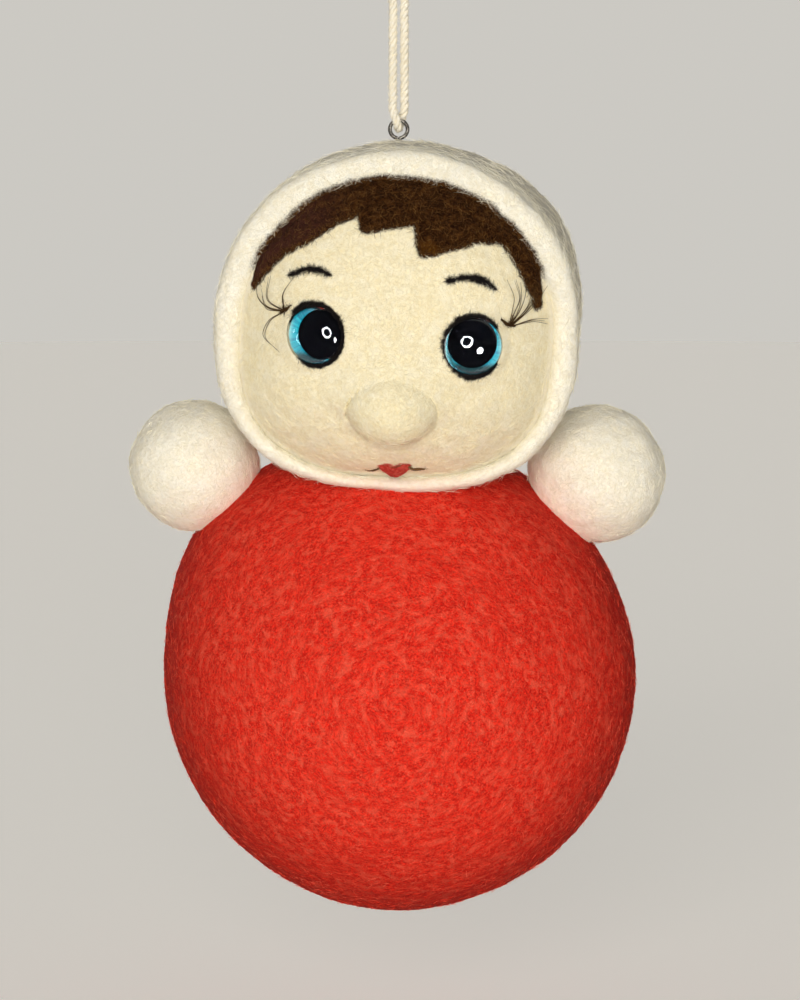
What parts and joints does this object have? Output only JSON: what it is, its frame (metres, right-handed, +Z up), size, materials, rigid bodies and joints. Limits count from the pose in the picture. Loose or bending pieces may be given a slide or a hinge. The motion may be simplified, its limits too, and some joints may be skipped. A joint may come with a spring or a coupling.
{
  "type": "hanging felt doll ornament",
  "caption": "Needle-felted roly-poly doll ornament: round red body, hooded head with domed glass eyes and ball hands, hung on a cord loop through a screw eye.",
  "frame": {"origin": "the point of the cord loop that a hook or twig bears on, just under the knot", "axes": "+Z up along the hanging cord, -Y the way the doll's face looks, +X to the right of someone who looks at the face"},
  "size_m": [0.0851, 0.0763, 0.1646],
  "materials": {
    "core_wool": "felted wool",
    "red_wool": "felted wool with loose fibres",
    "face_wool": "felted wool with loose fibres",
    "white_wool": "felted wool with loose fibres",
    "brown_wool": "felted wool",
    "black_wool": "needled wool strand",
    "lash_hair": "stiffened hair",
    "lip_wool": "needled wool",
    "clear_glass": "clear, polished",
    "iris_paint": "turquoise enamel",
    "pupil_paint": "black enamel",
    "dark_steel": "darkened steel wire",
    "cream_cotton": "twisted cotton cord"
  },
  "bodies": {
    "hanger": {"cord_leg_left": "cream_cotton", "cord_leg_right": "cream_cotton", "cord_knot": "cream_cotton"},
    "cord_bight": {"cord_bight": "cream_cotton"},
    "doll": {"body_core": "core_wool", "head_core": "core_wool", "neck_tuft": "core_wool", "body_cover": "red_wool", "face_cover": "face_wool", "nose": "face_wool", "hood": "white_wool", "hand_left": "white_wool", "hand_right": "white_wool", "hair_fringe": "brown_wool", "mouth_corner_left": "brown_wool", "mouth_corner_right": "brown_wool", "eye_liner_left": "black_wool", "eye_liner_right": "black_wool", "eyebrow_left": "black_wool", "eyebrow_right": "black_wool", "eyelash_left": "lash_hair", "eyelash_right": "lash_hair", "lips": "lip_wool", "eye_glass_left": "clear_glass", "eye_glass_right": "clear_glass", "eye_iris_left": "iris_paint", "eye_iris_right": "iris_paint", "eye_pupil_left": "pupil_paint", "eye_pupil_right": "pupil_paint", "hang_eye": "dark_steel", "eye_shank_left": "dark_steel", "eye_shank_right": "dark_steel"}
  },
  "joints": [
    {"name": "spin", "type": "hinge", "parent": "hanger", "child": "cord_bight", "pos_m": [0, 0, 0], "axis": [0, 0, 1], "range_deg": [-180, 180]},
    {"name": "side_swing", "type": "hinge", "parent": "cord_bight", "child": "doll", "pos_m": [0, 0, -0.03], "axis": [0, 1, 0], "range_deg": [-60, 60]}
  ]
}
